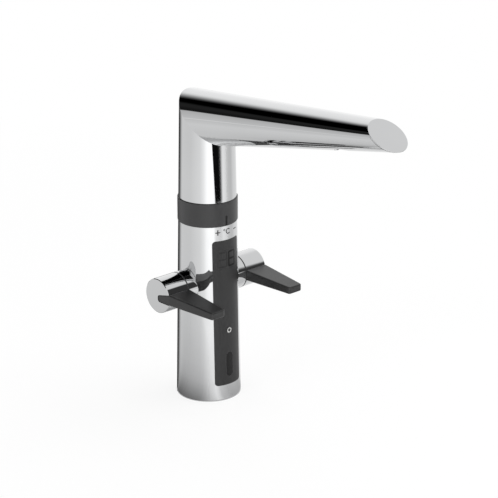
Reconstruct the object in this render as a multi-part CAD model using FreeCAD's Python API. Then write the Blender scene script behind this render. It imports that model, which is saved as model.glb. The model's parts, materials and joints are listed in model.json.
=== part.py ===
import FreeCAD, Part
import math
import os

# Electronic kitchen tap: a tapered column with a control panel, a lever on each
# side, a temperature ring and a swivelling spout. Millimetres, +Z up, the panel
# and the spout face -Y, and the origin is on the worktop at the column's axis.

# Clearances
fit_gap = 0.1            # between seated pieces
seat_gap = 0.25          # between long curved faces that seat on each other
running_gap = 0.05       # radial play of pieces that turn or slide in a bore
turn_gap = 0.3           # beside pieces that turn past each other
overrun = 5.0            # how far a cutter reaches past what it cuts

# Column
base_radius = 29.0
column_taper_share = 0.018   # radius lost per unit of height
column_wall = 2.0
body_height = 163.8

# Control panel, set flush into the front of the column
panel_half_width = 14.65
panel_bottom = 14.5
panel_top_margin = 12.8      # below the body's top edge
panel_corner = 3.0
panel_skin = 2.0
panel_rim = 2.0              # wall left around the pocket at the back
panel_flange = 1.5           # overlap behind the column's edge
flange_thickness = 1.0
gasket_thickness = 0.6

# Display, sensor and button on the panel
lens_half_width = 10.2
lens_height = 17.0
lens_drop = 9.5              # below the panel's top edge
lens_corner = 1.0
lens_thickness = 1.2
lens_ledge = 1.2             # ledge that the lens sits on
sensor_half_width = 3.35
sensor_height = 22.1
sensor_rise = 8.0            # above the panel's lower edge
sensor_corner = 3.0
button_rise = 51.5           # above the panel's lower edge
button_radius = 3.1
button_core_radius = 1.4
button_stand = 0.3           # how far the button stands out of the panel
button_ring_depth = 2.0
button_flange = 1.0
button_flange_depth = 1.2
button_flange_gap = 0.6
button_travel = 0.8

# Electronics behind the panel
board_front = 15.5           # from the column's axis to the board's front face
board_thickness = 1.6
board_half_width = 10.0
board_low_margin = 5.5       # inside the panel's lower and upper edges
board_high_margin = 4.0
post_spacing = 15.0          # screw posts, side to side
post_drop = 12.0             # lower posts, below the button
post_gap = 10.5              # upper posts, below the lens
post_radius = 2.4
screw_radius = 1.0
screw_depth = 4.0
screw_head_radius = 1.8
screw_head_depth = 1.2
display_depth = 5.0
sensor_module_depth = 7.0
sensor_module_half_width = 4.6
switch_size = 6.0

# Side hubs and the sleeves of the column that carry them
hub_radius = 15.6
hub_height = 105.0
hub_setback = 2.0            # the hub axis lies this far behind the column's axis
sleeve_lip = 0.3             # the sleeve ends this far past the cartridge's nut
sleeve_wall = 2.3
hub_length = 23.7
hub_edge = 0.5

# Levers
lever_root = 0.5             # all along the lever, from the hub's axis
lever_root_round = 2.6
lever_reach = 67.0
lever_crest_reach = 16.0
lever_drop = 5.0             # flat underside, below the hub's axis
lever_crest_rise = 4.7
lever_tip_rise = 1.5
lever_root_rise = 0.8
lever_tip_width = 15.0
lever_corner = 2.5
lever_edge = 1.2

# Valve cartridges inside the cross tube
tube_reach = 30.0
cartridge_wall = 2.2
web_half = 4.0
chamber_length = 7.0
seal_length = 1.5
seal_width = 3.0
fixed_disc_length = 2.5
moving_disc_length = 2.4
disc_port_radius = 2.2
driver_length = 1.6
cavity_wall = 2.2
driver_radius = 6.5
spindle_radius = 4.0
spindle_grip = 16.0
hub_boss_wall = 1.6
nut_length = 3.2
grub_radius = 2.0
grub_recess = 1.5

# Brass valve body
foot_height = 12.0
stem_half_width = 12.0
stem_front = 2.0
stem_back = 15.0
head_half_width = 20.0
head_front = 6.0
head_back = 10.0
collar_height = 9.5
inlet_spacing = 15.0
inlet_back = 6.0
inlet_radius = 5.0           # M10 hose thread
inlet_depth = 10.0
passage_radius = 3.5
outlet_offset = 17.0
outlet_radius = 2.5
mixing_height = 8.0
stud_spacing = 24.0
stud_front = 3.0
stud_radius = 3.0            # M6 fixing stud
gland_front = 10.0
gland_radius = 6.0
gland_wall = 2.0
base_seal_inner = 22.0
base_seal_outer = 25.0
base_seal_depth = 1.5

# Swivel post
swivel_radius = 13.0
swivel_bore = 9.0
swivel_socket = 16.0
swivel_stand = 27.4          # reach into the spout's bush
o_ring_section = 1.05
o_ring_rises = (5.4, 21.4)   # above the bush's lower end
groove_rise = 13.4
groove_depth = 1.0
groove_half_width = 2.3

# Temperature ring
ring_height = 21.3
ring_radius = 26.6
ring_bearing_radius = 20.0
ring_edge = 0.4
index_width = 2.3
index_height = 9.2
index_depth = 0.8
index_angle = -4.0
magnet_radius = 1.5
magnet_depth = 3.0
magnet_circle = 23.3
magnet_angles = (78.0, 102.0)
hall_width = 6.0
hall_length = 3.0
hall_depth = 2.0
hall_circle = 20.6

# Spout
spout_wall = 1.2
riser_rise = 71.8            # from the riser's lower edge to the mitre, on the axis
arm_rise_angle = 7.83
arm_length = 218.4
arm_half_width = 24.1
arm_half_height = 23.7
arm_end_half_width = 17.0
arm_end_half_height = 12.2
end_cut_angle = 47.9
end_cap_thickness = 0.9
end_cap_edge = 0.25
end_cap_gap = 0.5            # shadow groove between the arm and its end cap
end_cap_plug = 4.0
slide_ring_thickness = 1.0
bush_height = 35.5
bush_roof = 7.0
hose_radius = 6.0
hose_bore = 4.2
hose_seat = 5.0
hose_bend_share = 0.45

# Aerator under the spout
aerator_setback = 48.2       # back from the arm's end, on the axis
aerator_radius = 11.0
aerator_recess = 2.8         # the mouth lies inside the arm's round underside
aerator_roof = 7.0
aerator_wall = 1.6
aerator_insert_length = 7.0
aerator_insert_recess = 0.8
aerator_seal_thickness = 1.5
aerator_jet_radius = 1.0
aerator_jet_counts = (6, 12)
aerator_jet_shares = (0.4, 0.75)
spigot_wall = 1.2
spigot_length = 8.0

UP = FreeCAD.Vector(0, 0, 1)
FRONT = FreeCAD.Vector(0, -1, 0)
SIDES = {"left": -1, "right": 1}

# Places worked out from the sizes above
panel_top = body_height - panel_top_margin
lens_top = panel_top - lens_drop
lens_bottom = lens_top - lens_height
sensor_bottom = panel_bottom + sensor_rise
sensor_top = sensor_bottom + sensor_height
button_height = panel_bottom + button_rise
board_bottom = panel_bottom + board_low_margin
board_top = panel_top - board_high_margin
post_heights = (button_height - post_drop, lens_bottom - post_gap)
ring_bottom = body_height + turn_gap
ring_top = ring_bottom + ring_height
riser_bottom = ring_top + turn_gap
mitre_height = riser_bottom + riser_rise
aerator_distance = arm_length - aerator_setback
gasket_inset = column_wall + seat_gap
flange_inset = gasket_inset + gasket_thickness + seat_gap
panel_depth = flange_inset + flange_thickness
board_back = board_front - board_thickness
sleeve_bore = hub_radius - sleeve_wall
sleeve_reach = tube_reach + nut_length + sleeve_lip
tube_radius = sleeve_bore - fit_gap
cartridge_bore = tube_radius - cartridge_wall
cartridge_radius = cartridge_bore - fit_gap
hub_start = sleeve_reach + turn_gap
hub_end = hub_start + hub_length
seal_start = web_half + chamber_length
fixed_disc_start = seal_start + seal_length
moving_disc_start = fixed_disc_start + fixed_disc_length
driver_start = moving_disc_start + moving_disc_length
cavity_radius = cartridge_radius - cavity_wall
cavity_end = driver_start + driver_length + turn_gap
swivel_bottom = body_height - swivel_socket
slide_ring_top = ring_top + slide_ring_thickness
bush_bottom = slide_ring_top + running_gap
swivel_top = bush_bottom + swivel_stand
bush_top = bush_bottom + bush_height
hose_start = bush_top - hose_seat
front_reach = base_radius + overrun
rise = math.radians(arm_rise_angle)
arm_axis = FreeCAD.Vector(0, -math.cos(rise), math.sin(rise))
arm_up = FreeCAD.Vector(0, math.sin(rise), math.cos(rise))
arm_start = FreeCAD.Vector(0, 0, mitre_height)


def column_radius(height):
    return base_radius - column_taper_share * height


def cone(low, high, inset):
    """Solid of the column's taper between two heights, inset from its surface."""
    return Part.makeCone(column_radius(low) - inset, column_radius(high) - inset,
                         high - low, UP * low)


def cone_shell(low, high, outer_inset, inner_inset):
    inner = cone(low - overrun, high + overrun, inner_inset)
    return cone(low, high, outer_inset).cut(inner)


def upright(radius, low, high, x=0, y=0):
    return Part.makeCylinder(radius, high - low, FreeCAD.Vector(x, y, low))


def upright_ring(outer, inner, low, high):
    return upright(outer, low, high).cut(upright(inner, low - overrun, high + overrun))


def side_rod(side, radius, start, end):
    """Cylinder on a hub's axis, between two distances from the middle."""
    base = FreeCAD.Vector(side * start, hub_setback, hub_height)
    return Part.makeCylinder(radius, end - start, base, FreeCAD.Vector(side, 0, 0))


def side_ring(side, outer, inner, start, end):
    hole = side_rod(side, inner, start - overrun, end + overrun)
    return side_rod(side, outer, start, end).cut(hole)


def front_rod(radius, near, far, x, z):
    """Cylinder along the front direction, between two distances from the axis."""
    return Part.makeCylinder(radius, far - near, FreeCAD.Vector(x, -near, z), FRONT)


def front_box(half_width, near, far, low, high):
    corner = FreeCAD.Vector(-half_width, -far, low)
    return Part.makeBox(half_width + half_width, far - near, high - low, corner)


def front_prism(half_width, low, high, corner):
    """Upright block with round corners that runs from the axis out of the front."""
    block = front_box(half_width, 0, front_reach, low, high)
    edges = [edge for edge in block.Edges
             if abs(edge.Vertexes[0].Y - edge.Vertexes[-1].Y) > front_reach / 2]
    return block.makeFillet(corner, edges)


def panel_prism(grow):
    """The panel's outline, grown all round."""
    return front_prism(panel_half_width + grow, panel_bottom - grow, panel_top + grow,
                       panel_corner + grow)


def lens_prism(grow):
    return front_prism(lens_half_width + grow, lens_bottom - grow, lens_top + grow, lens_corner)


def sensor_prism(grow):
    return front_prism(sensor_half_width + grow, sensor_bottom - grow, sensor_top + grow,
                       sensor_corner)


def cut_all(solid, cutters):
    for cutter in cutters:
        solid = solid.cut(cutter)
    return solid


def column_body():
    """Chromed body: tapered tube with two side sleeves and the panel's window."""
    outer = cone(0, body_height, 0)
    for side in SIDES.values():
        outer = outer.fuse(side_rod(side, hub_radius, 0, sleeve_reach))
    inside = cone(-overrun, body_height + overrun, column_wall)
    bores = [side_rod(side, sleeve_bore, 0, sleeve_reach + overrun) for side in SIDES.values()]
    return cut_all(outer, [inside, panel_prism(0)] + bores).removeSplitter()


def post_places():
    return [(side * post_spacing / 2, height)
            for height in post_heights for side in SIDES.values()]


def control_panel():
    """Dark moulding: front skin, rim, flange behind the column's edge and screw posts."""
    rim = panel_prism(-fit_gap).common(cone_shell(0, body_height, 0, panel_depth))
    flange = panel_prism(panel_flange).common(cone_shell(0, body_height, flange_inset, panel_depth))
    pocket = panel_prism(-fit_gap - panel_rim)
    pocket = pocket.common(cone_shell(0, body_height, panel_skin, panel_depth + overrun))
    panel = rim.fuse(flange).cut(pocket)
    for x, z in post_places():
        post = front_rod(post_radius, board_front, front_reach, x, z)
        panel = panel.fuse(post.common(cone(0, body_height, panel_skin / 2)))
        panel = panel.cut(front_rod(screw_radius, board_front - overrun,
                                    board_front + screw_depth + fit_gap, x, z))
    lens_seat = lens_prism(fit_gap)
    lens_seat = lens_seat.common(cone_shell(0, body_height, -overrun, lens_thickness + fit_gap))
    button_hole = front_rod(button_radius + running_gap, 0, front_reach, 0, button_height)
    return cut_all(panel, [lens_seat, lens_prism(-lens_ledge), sensor_prism(fit_gap),
                           button_hole]).removeSplitter()


def panel_gasket():
    frame = panel_prism(panel_flange).cut(panel_prism(fit_gap))
    return frame.common(cone_shell(0, body_height, gasket_inset, gasket_inset + gasket_thickness))


def display_lens():
    return lens_prism(0).common(cone_shell(0, body_height, 0, lens_thickness))


def sensor_window():
    return sensor_prism(0).common(cone_shell(0, body_height, 0, panel_skin))


def board_block(half_width, depth, low, high):
    """Module that stands on the board's front face."""
    return front_box(half_width, board_front, board_front + depth, low, high)


def control_board():
    board = front_box(board_half_width, board_back, board_front, board_bottom, board_top)
    holes = [front_rod(screw_radius + fit_gap, 0, front_reach, x, z) for x, z in post_places()]
    return cut_all(board, holes)


def board_screws():
    screws = []
    for x, z in post_places():
        head = front_rod(screw_head_radius, board_back - screw_head_depth, board_back, x, z)
        shank = front_rod(screw_radius - fit_gap, board_back, board_front + screw_depth, x, z)
        screws.append(head.fuse(shank))
    return Part.makeCompound(screws)


button_face = column_radius(button_height) + button_stand
button_flange_front = column_radius(button_height) - panel_skin - button_flange_gap
button_back = button_flange_front - button_flange_depth


def mode_button():
    """Button with a dark core, a seat for its light ring and a flange behind the panel."""
    stem = front_rod(button_radius, button_back, button_face, 0, button_height)
    flange = front_rod(button_radius + button_flange, button_back, button_flange_front,
                       0, button_height)
    ring_seat = front_rod(button_radius + overrun, button_face - button_ring_depth,
                          front_reach, 0, button_height)
    core = front_rod(button_core_radius, 0, front_reach, 0, button_height)
    return stem.fuse(flange).cut(ring_seat.cut(core))


def button_light_ring():
    ring = front_rod(button_radius, button_face - button_ring_depth + running_gap,
                     button_face, 0, button_height)
    return ring.cut(front_rod(button_core_radius + running_gap, 0, front_reach, 0, button_height))


def tact_switch():
    depth = button_back - button_travel - running_gap - board_front
    half = switch_size / 2
    return board_block(half, depth, button_height - half, button_height + half)


def valve_body():
    """Brass casting: foot, stem, cross tube for the cartridges, head and collar."""
    inset = column_wall + fit_gap
    inside = cone(0, body_height, inset + fit_gap)
    stem = front_box(stem_half_width, -stem_back, stem_front, 0, body_height - collar_height)
    head = front_box(head_half_width, -head_back, head_front, hub_height, body_height)
    body = stem.fuse(head).common(inside)
    body = body.fuse(cone(0, foot_height, inset))
    body = body.fuse(cone(body_height - collar_height, body_height, inset))
    for side in SIDES.values():
        body = body.fuse(side_rod(side, tube_radius, 0, tube_reach))
    half = inlet_spacing / 2
    mixing_bottom = swivel_bottom - mixing_height
    cutters = [upright(swivel_radius + fit_gap, swivel_bottom, body_height + overrun),
               upright(swivel_bore, mixing_bottom, swivel_bottom + overrun),
               upright(gland_radius, -overrun, foot_height + overrun, 0, -gland_front),
               upright_ring(base_seal_outer + fit_gap, base_seal_inner - fit_gap,
                            -overrun, base_seal_depth)]
    for side in SIDES.values():
        outlet = side * outlet_offset
        cross = Part.makeCylinder(outlet_radius, outlet_offset,
                                  FreeCAD.Vector(0, hub_setback, mixing_bottom + outlet_radius),
                                  FreeCAD.Vector(side, 0, 0))
        cutters += [side_rod(side, cartridge_bore, web_half, tube_reach + overrun),
                    upright(inlet_radius, -overrun, inlet_depth, side * half, inlet_back),
                    upright(passage_radius, 0, hub_height, side * half, inlet_back),
                    upright(stud_radius, -overrun, foot_height + overrun,
                            side * stud_spacing / 2, -stud_front),
                    upright(outlet_radius, hub_height, mixing_bottom + outlet_radius,
                            outlet, hub_setback),
                    cross]
    return cut_all(body, cutters + [hall_pocket()])


def hall_block(grow):
    half = hall_width / 2 + grow
    low = body_height - hall_depth - grow - grow
    corner = FreeCAD.Vector(-half, hall_circle - hall_length / 2 - grow, low)
    return Part.makeBox(half + half, hall_length + grow + grow, hall_depth, corner)


def hall_pocket():
    pocket = hall_block(fit_gap)
    return pocket.fuse(pocket.translated(UP * hall_depth / 2))


def base_seal():
    return upright_ring(base_seal_outer, base_seal_inner, 0, base_seal_depth - fit_gap)


def cable_gland():
    gland = upright(gland_radius - fit_gap, 0, foot_height, 0, -gland_front)
    return gland.cut(upright(gland_radius - gland_wall, -overrun, foot_height + overrun,
                             0, -gland_front))


def disc_ports(side, start, length):
    """Two ports side by side through a ceramic disc."""
    ports = []
    for sign in SIDES.values():
        port = side_rod(side, disc_port_radius, start - length, start + length + length)
        ports.append(port.translated(UP * sign * disc_port_radius * 2))
    return ports


def fixed_disc(side):
    disc = side_rod(side, cavity_radius, fixed_disc_start, moving_disc_start)
    return cut_all(disc, disc_ports(side, fixed_disc_start, fixed_disc_length))


def moving_disc(side):
    start = moving_disc_start + running_gap
    disc = side_rod(side, cavity_radius - turn_gap, start, driver_start)
    return cut_all(disc, disc_ports(side, start, moving_disc_length))


def cartridge_seal(side):
    return side_ring(side, cartridge_radius, cartridge_radius - seal_width,
                     seal_start, fixed_disc_start)


def cartridge(side):
    """Cartridge body: holds the discs, guides the spindle, with an outlet at the top."""
    body = side_rod(side, cartridge_radius, fixed_disc_start, tube_reach)
    cavity = side_rod(side, cavity_radius + fit_gap, 0, cavity_end)
    bore = side_rod(side, spindle_radius + running_gap, 0, tube_reach + overrun)
    outlet = upright(outlet_radius, hub_height, hub_height + hub_radius,
                     side * outlet_offset, hub_setback)
    return cut_all(body, [cavity, bore, outlet])


def cartridge_nut(side):
    return side_ring(side, tube_radius, spindle_radius + turn_gap,
                     tube_reach, tube_reach + nut_length)


def spindle(side):
    stem = side_rod(side, spindle_radius, driver_start, hub_start + spindle_grip)
    driver = side_rod(side, driver_radius, driver_start, driver_start + driver_length)
    return stem.fuse(driver)


def lever_profile(side, start, end, grow):
    """Side view of the lever, between two distances from the middle."""
    view = [(lever_root - grow, -lever_drop - grow),
            (lever_reach + grow, -lever_drop - grow),
            (lever_reach + grow, lever_tip_rise + grow),
            (lever_crest_reach, lever_crest_rise + grow),
            (lever_root - grow, lever_root_rise + grow)]
    points = [FreeCAD.Vector(side * start, hub_setback - along, hub_height + up)
              for along, up in view]
    outline = Part.makePolygon(points + points[:1])
    block = Part.Face(outline).extrude(FreeCAD.Vector(side * (end - start), 0, 0))
    root = hub_setback - lever_root_round
    edges = [edge for edge in block.Edges if edge.BoundBox.XLength > hub_length / 2
             and edge.BoundBox.YMin > root]
    return block.makeFillet(lever_root_round, edges)


def hub_boss(side, grow):
    return side_rod(side, spindle_radius + hub_boss_wall + grow, hub_start,
                    hub_start + spindle_grip + hub_boss_wall + grow)


def grub_hole(side, grow):
    """Set screw from the back of the hub onto the spindle."""
    start = FreeCAD.Vector(side * (hub_start + spindle_grip / 2),
                           hub_setback + spindle_radius + fit_gap, hub_height)
    length = hub_radius - grub_recess - spindle_radius - fit_gap
    back = FreeCAD.Vector(0, 1, 0)
    hole = Part.makeCylinder(grub_radius + grow, length, start, back)
    if grow > 0:
        return hole.fuse(hole.translated(back * length / 2))
    return hole


def hub(side):
    """Chromed hub with a slot for the lever's root and a socket for the spindle."""
    body = side_rod(side, hub_radius, hub_start, hub_end)
    rims = [edge for edge in body.Edges if edge.Closed]
    body = body.makeChamfer(hub_edge, rims)
    slot = lever_profile(side, hub_start - overrun, hub_end + overrun, fit_gap)
    socket = side_rod(side, spindle_radius + running_gap, hub_start - overrun,
                      hub_start + spindle_grip + fit_gap)
    return cut_all(body, [slot.cut(hub_boss(side, 0)), socket, grub_hole(side, fit_gap)])


def lever(side):
    """Flat paddle that tapers to its tip and grips the hub's boss."""
    middle = (hub_start + hub_end) / 2
    half_root = hub_length / 2
    half_tip = lever_tip_width / 2
    plan = [(half_root, 0), (half_root, hub_radius), (half_tip, lever_reach),
            (-half_tip, lever_reach), (-half_root, hub_radius), (-half_root, 0)]
    low = hub_height - hub_radius
    points = [FreeCAD.Vector(side * (middle + across), hub_setback - along, low)
              for across, along in plan]
    outline = Part.makePolygon(points + points[:1])
    prism = Part.Face(outline).extrude(UP * (hub_radius + hub_radius))
    tips = [edge for edge in prism.Edges
            if edge.Vertexes[0].Z != edge.Vertexes[-1].Z
            and edge.Vertexes[0].Y < hub_setback - lever_reach + lever_corner]
    prism = prism.makeFillet(lever_corner, tips)
    paddle = lever_profile(side, hub_start, hub_end, 0).common(prism)
    crest = hub_setback - lever_crest_reach
    rims = [edge for edge in paddle.Edges if edge.BoundBox.YMax < crest + lever_edge
            and edge.BoundBox.ZLength < lever_drop]
    paddle = paddle.makeFillet(lever_edge, rims)
    return paddle.cut(hub_boss(side, fit_gap))


def swivel_post():
    """Brass post that carries the ring's bush and the spout."""
    post = upright_ring(swivel_radius, swivel_bore, swivel_bottom, swivel_top)
    grooves = [(bush_bottom + groove_rise, groove_depth, groove_half_width)]
    depth = o_ring_section * 2 + fit_gap
    grooves += [(bush_bottom + up, depth, o_ring_section + fit_gap) for up in o_ring_rises]
    cutters = [upright_ring(swivel_radius + overrun, swivel_radius - deep, at - half, at + half)
               for at, deep, half in grooves]
    return cut_all(post, cutters)


def swivel_o_rings():
    major = swivel_radius - running_gap - o_ring_section
    return Part.makeCompound([Part.makeTorus(major, o_ring_section, UP * (bush_bottom + up))
                              for up in o_ring_rises])


def ring_bush():
    return upright_ring(ring_bearing_radius, swivel_radius + running_gap,
                        body_height, ring_top)


def slide_ring():
    return upright_ring(ring_bearing_radius, swivel_radius + running_gap,
                        ring_top, slide_ring_top)


def magnet_places():
    return [(magnet_circle * math.cos(math.radians(angle)),
             magnet_circle * math.sin(math.radians(angle))) for angle in magnet_angles]


def temperature_ring():
    """Dark turning ring with an index groove at the front and magnets at the back."""
    ring = upright(ring_radius, ring_bottom, ring_top)
    rims = [edge for edge in ring.Edges if edge.Closed]
    ring = ring.makeChamfer(ring_edge, rims)
    bore = upright(ring_bearing_radius + running_gap, ring_bottom - overrun, ring_top + overrun)
    index = front_box(index_width / 2, ring_radius - index_depth, front_reach,
                      ring_bottom - overrun, ring_bottom + index_height)
    index.rotate(FreeCAD.Vector(0, 0, 0), UP, index_angle)
    pockets = [upright(magnet_radius + fit_gap, ring_bottom - overrun,
                       ring_bottom + magnet_depth + fit_gap, x, y) for x, y in magnet_places()]
    return cut_all(ring, [bore, index] + pockets)


def ring_magnets():
    return Part.makeCompound([upright(magnet_radius, ring_bottom, ring_bottom + magnet_depth, x, y)
                              for x, y in magnet_places()])


def oval(centre, half_a, half_b):
    """Closed wire of a unit circle stretched to two half axes."""
    normal = half_a.cross(half_b)
    place = FreeCAD.Matrix(half_a.x, half_b.x, normal.x, centre.x,
                           half_a.y, half_b.y, normal.y, centre.y,
                           half_a.z, half_b.z, normal.z, centre.z,
                           0, 0, 0, 1)
    return Part.Wire(Part.makeCircle(1).transformGeometry(place).Edges)


def mitre_slope():
    """Rise of the mitre plane towards the back that gives the arm its height at the root."""
    return (arm_half_height / column_radius(mitre_height) - math.sin(rise)) / math.cos(rise)


def mitre_oval(inset):
    """Where the column's taper meets the mitre plane."""
    slope = mitre_slope()
    radius = column_radius(mitre_height) - inset
    back = radius / (1 + column_taper_share * slope)
    front = -radius / (1 - column_taper_share * slope)
    middle = (back + front) / 2
    centre = arm_start + FreeCAD.Vector(0, middle, slope * middle)
    half_up = FreeCAD.Vector(0, 1, slope) * ((back - front) / 2)
    reach = column_radius(centre.z) - inset
    half_wide = FreeCAD.Vector(math.sqrt(reach ** 2 - middle ** 2), 0, 0)
    return oval(centre, half_wide, half_up)


arm_taper = (arm_half_height - arm_end_half_height) / arm_length
arm_narrowing = (arm_half_width - arm_end_half_width) / arm_length
end_slope = math.tan(math.radians(end_cut_angle))


def arm_half_height_at(along):
    return arm_half_height - arm_taper * along


def end_oval(inset):
    """Where the tapering arm meets its slanted end plane."""
    half = arm_end_half_height - inset
    top = half / (1 - arm_taper * end_slope)
    bottom = -half / (1 + arm_taper * end_slope)
    middle = (top + bottom) / 2
    along = arm_length - middle * end_slope
    centre = arm_start + arm_axis * along + arm_up * middle
    half_up = (arm_up - arm_axis * end_slope) * ((top - bottom) / 2)
    wide = arm_end_half_width - inset + arm_narrowing * (arm_length - along)
    share = middle / (arm_half_height_at(along) - inset)
    half_wide = FreeCAD.Vector(wide * math.sqrt(1 - share ** 2), 0, 0)
    return oval(centre, half_wide, half_up)


def arm_solid(inset):
    return Part.makeLoft([mitre_oval(inset), end_oval(inset)], True, True)


def above_mitre():
    """Large block above the mitre plane."""
    size = base_radius * 6
    block = Part.makeBox(size, size, size, FreeCAD.Vector(-size / 2, -size / 2, 0))
    block.rotate(FreeCAD.Vector(0, 0, 0), FreeCAD.Vector(1, 0, 0),
                 math.degrees(math.atan(mitre_slope())))
    return block.translated(arm_start)


def set_screw(grow):
    """Screw at the back of the riser whose tip runs in the post's groove."""
    height = bush_bottom + groove_rise
    start = swivel_radius - groove_depth + turn_gap
    end = column_radius(height) - grub_recess
    back = FreeCAD.Vector(0, 1, 0)
    screw = Part.makeCylinder(grub_radius + grow, end - start,
                              FreeCAD.Vector(0, start, height), back)
    if grow > 0:
        return screw.fuse(screw.translated(back * overrun))
    return screw


def spout_riser():
    riser = cone_shell(riser_bottom, mitre_height + base_radius + overrun, 0, spout_wall)
    return cut_all(riser, [above_mitre(), set_screw(fit_gap)])


aerator_tilt = rise + math.atan(arm_taper)
aerator_axis = FreeCAD.Vector(0, -math.sin(aerator_tilt), -math.cos(aerator_tilt))
aerator_centre = arm_start + arm_axis * aerator_distance
underside = arm_half_height_at(aerator_distance) * math.cos(math.atan(arm_taper))
aerator_mouth = underside - aerator_recess


def aerator_rod(radius, start, end, shift=FreeCAD.Vector()):
    """Cylinder on the aerator's axis, measured down from the middle of the arm."""
    return Part.makeCylinder(radius, end - start, aerator_centre + aerator_axis * start + shift,
                             aerator_axis)


def past_end(setback):
    """Large block past the arm's slanted end plane, moved back square to that plane."""
    size = base_radius * 3
    block = Part.makeBox(size, size, size, FreeCAD.Vector(-size / 2, -size / 2, 0))
    square = (arm_axis + arm_up * end_slope).normalize()
    middle = arm_start + arm_axis * arm_length - square * setback
    block.Placement = FreeCAD.Placement(middle, FreeCAD.Rotation(UP, square)) * block.Placement
    return block


def spout_arm():
    """Hollow arm that narrows to an oval end, with the aerator's hole below."""
    arm = arm_solid(0).cut(arm_solid(spout_wall))
    return cut_all(arm, [past_end(end_cap_thickness + end_cap_gap),
                         aerator_rod(aerator_radius + fit_gap, 0, aerator_mouth + overrun)])


def spout_end_cap():
    """Thin plate over the arm's whole end, with a plug that fits inside the arm."""
    plate = arm_solid(0).common(past_end(end_cap_thickness))
    front = max(plate.Faces, key=lambda face: face.CenterOfMass.dot(arm_axis))
    plate = plate.makeFillet(end_cap_edge, front.Edges)
    plug = Part.Face(end_oval(spout_wall + fit_gap)).extrude(arm_axis * -end_cap_plug)
    return plate.fuse(plug.cut(past_end(end_cap_thickness / 2)))


def swivel_bush():
    """Plastic bush in the riser that turns on the post and takes the hose."""
    bush = cone(bush_bottom, bush_top, spout_wall + fit_gap)
    bore = upright(swivel_radius + running_gap, bush_bottom - overrun, bush_top - bush_roof)
    return cut_all(bush, [bore, upright(hose_bore, bush_bottom, bush_top + overrun),
                          upright(hose_radius + fit_gap, hose_start, bush_top + overrun),
                          set_screw(fit_gap)])


spigot_end = aerator_distance - aerator_radius - spigot_length


def hose_path():
    """Straight up from the bush, one bend and along the arm to the aerator's spigot."""
    low = UP * (hose_start + fit_gap)
    reach = aerator_distance - aerator_radius - fit_gap - hose_radius * arm_taper
    end = arm_start + arm_axis * reach
    turn = UP.getAngle(arm_axis)
    trim = (mitre_height - bush_top) * hose_bend_share
    radius = trim / math.tan(turn / 2)
    bend_in = arm_start - UP * trim
    bend_out = arm_start + arm_axis * trim
    toward = (arm_axis - UP).normalize()
    middle = arm_start + toward * (radius / math.cos(turn / 2) - radius)
    arc = Part.Arc(bend_in, middle, bend_out)
    return Part.Wire([Part.makeLine(low, bend_in), arc.toShape(), Part.makeLine(bend_out, end)])


def outlet_hose():
    path = hose_path()
    start = UP * (hose_start + fit_gap)
    tubes = [path.makePipeShell([Part.Wire(Part.makeCircle(radius, start))], True, False)
             for radius in (hose_radius, hose_bore)]
    return tubes[0].cut(tubes[1])


def aerator_housing():
    """Chromed cup in the arm's underside with a spigot for the hose at its back."""
    cup = aerator_rod(aerator_radius, -aerator_roof, aerator_mouth)
    spigot_radius = hose_bore - fit_gap
    spigot_start = arm_start + arm_axis * spigot_end
    spigot = Part.makeCylinder(spigot_radius, spigot_length + aerator_radius, spigot_start, arm_axis)
    way = Part.makeCylinder(spigot_radius - spigot_wall, spigot_length + aerator_radius,
                            spigot_start, arm_axis)
    hollow = aerator_rod(aerator_radius - aerator_wall, aerator_wall - aerator_roof,
                         aerator_mouth + overrun)
    return cut_all(cup.fuse(spigot), [hollow, way]).removeSplitter()


insert_end = aerator_mouth - aerator_insert_recess
insert_start = insert_end - aerator_insert_length


def aerator_insert():
    """Flow straightener with rings of jets round a middle one."""
    radius = aerator_radius - aerator_wall - fit_gap
    insert = aerator_rod(radius, insert_start, insert_end)
    sideways = FreeCAD.Vector(1, 0, 0)
    outward = aerator_axis.cross(sideways)
    jets = [aerator_rod(aerator_jet_radius, insert_start - overrun, insert_end + overrun)]
    for count, share in zip(aerator_jet_counts, aerator_jet_shares):
        for number in range(count):
            angle = math.tau * number / count
            shift = (sideways * math.cos(angle) + outward * math.sin(angle)) * (radius * share)
            jets.append(aerator_rod(aerator_jet_radius, insert_start - overrun,
                                    insert_end + overrun, shift))
    return cut_all(insert, jets)


def aerator_seal():
    outer = aerator_radius - aerator_wall - fit_gap
    start = insert_start - aerator_seal_thickness
    ring = aerator_rod(outer, start, insert_start)
    return ring.cut(aerator_rod(outer - seal_width, start - overrun, insert_start + overrun))


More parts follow.
